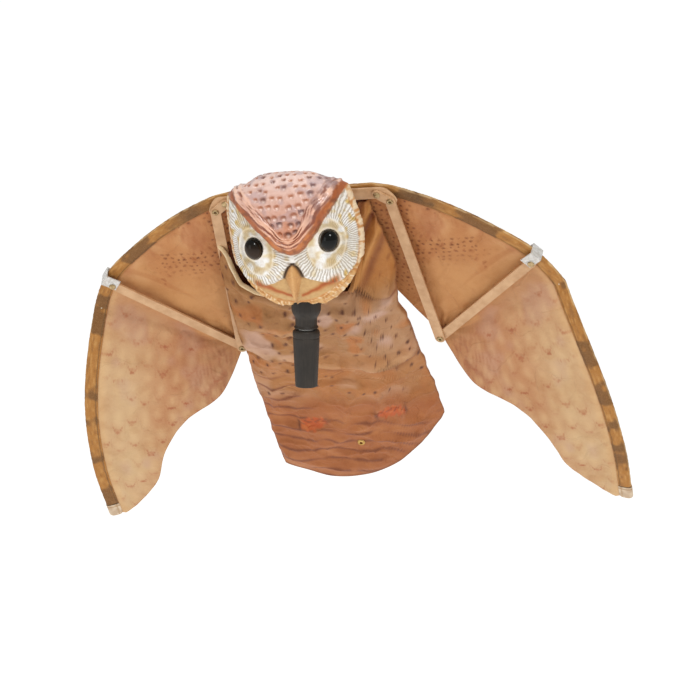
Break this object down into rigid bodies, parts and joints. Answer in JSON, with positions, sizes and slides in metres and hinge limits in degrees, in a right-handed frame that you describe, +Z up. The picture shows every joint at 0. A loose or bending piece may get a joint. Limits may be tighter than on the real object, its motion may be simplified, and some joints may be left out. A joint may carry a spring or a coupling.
{
  "type": "motion wing decoy",
  "caption": "Owl decoy on a pole socket: hollow moulded head, flat strip wing frame and printed cloth wings and tail that flap, sway and turn in the wind.",
  "frame": {"origin": "centre of the pole socket's open lower end", "axes": "+Z up along the pole, the owl faces -Y, its left wing is on +X"},
  "size_m": [0.6679, 0.3514, 0.4792],
  "materials": {
    "black_plastic": "satin",
    "zinc_steel": "satin",
    "rivet_steel": "satin",
    "white_nylon": "satin",
    "tan_strip": "satin",
    "clear_plastic": "gloss",
    "head_plastic": "painted, satin",
    "eye_gloss": "gloss",
    "fibreglass": "satin",
    "edge_cloth": "printed weave",
    "wing_cloth": "printed weave",
    "belly_cloth": "printed weave",
    "white_cloth": "binding tape",
    "brass": "polished"
  },
  "bodies": {
    "pole_mount": {"pole_socket": "black_plastic", "swivel_bolt": "zinc_steel", "swivel_washer": "white_nylon", "top_washer": "zinc_steel", "lock_nut": "zinc_steel"},
    "frame": {"neck_collar": "black_plastic", "left_collar_screw": "zinc_steel", "right_collar_screw": "zinc_steel", "bar_bracket": "zinc_steel", "shoulder_bar": "tan_strip", "left_bar_rivet": "rivet_steel", "right_bar_rivet": "rivet_steel", "head_shell": "head_plastic", "left_eye": "eye_gloss", "right_eye": "eye_gloss", "left_eye_washer": "white_nylon", "right_eye_washer": "white_nylon", "upper_head_screw": "zinc_steel", "lower_head_screw": "zinc_steel", "centre_spar": "fibreglass", "centre_sleeve": "edge_cloth", "body_bag": "belly_cloth", "neck_rim": "white_cloth"},
    "tail": {"tail_fabric": "belly_cloth", "tail_eyelet": "brass", "eyelet_washer": "brass"},
    "left_wing": {"left_bar_end": "tan_strip", "left_inner_arm": "tan_strip", "left_outer_strut": "tan_strip", "left_inner_shoulder_rivet": "rivet_steel", "left_outer_shoulder_rivet": "rivet_steel", "left_elbow_rivet": "rivet_steel", "left_wrist_rivet": "rivet_steel", "left_wrist_clip": "clear_plastic", "left_wing_spar": "fibreglass", "left_edge_sleeve": "edge_cloth", "left_wing_fabric": "wing_cloth", "left_tip_pocket": "white_cloth"},
    "right_wing": {"right_bar_end": "tan_strip", "right_inner_arm": "tan_strip", "right_outer_strut": "tan_strip", "right_inner_shoulder_rivet": "rivet_steel", "right_outer_shoulder_rivet": "rivet_steel", "right_elbow_rivet": "rivet_steel", "right_wrist_rivet": "rivet_steel", "right_wrist_clip": "clear_plastic", "right_wing_spar": "fibreglass", "right_edge_sleeve": "edge_cloth", "right_wing_fabric": "wing_cloth", "right_tip_pocket": "white_cloth"}
  },
  "joints": [
    {"name": "decoy_swivel", "type": "hinge", "parent": "pole_mount", "child": "frame", "pos_m": [0, 0, 0.067], "axis": [0, 0, 1], "continuous": true},
    {"name": "left_wing_flap", "type": "hinge", "parent": "frame", "child": "left_wing", "pos_m": [0.06948, 0.02, 0.22485], "axis": [-0.1389, -0.5515, 0.8225], "range_deg": [-35, 25], "stiffness_Nm_per_rad": 2},
    {"name": "right_wing_flap", "type": "hinge", "parent": "frame", "child": "right_wing", "pos_m": [-0.08981, 0.02, 0.20979], "axis": [0.0177, 0.5515, -0.834], "range_deg": [-35, 25], "stiffness_Nm_per_rad": 2},
    {"name": "tail_sway", "type": "hinge", "parent": "frame", "child": "tail", "pos_m": [0.00106, 0.10794, 0.0986], "axis": [0.9956, 0, 0.0941], "range_deg": [0, 40]}
  ]
}
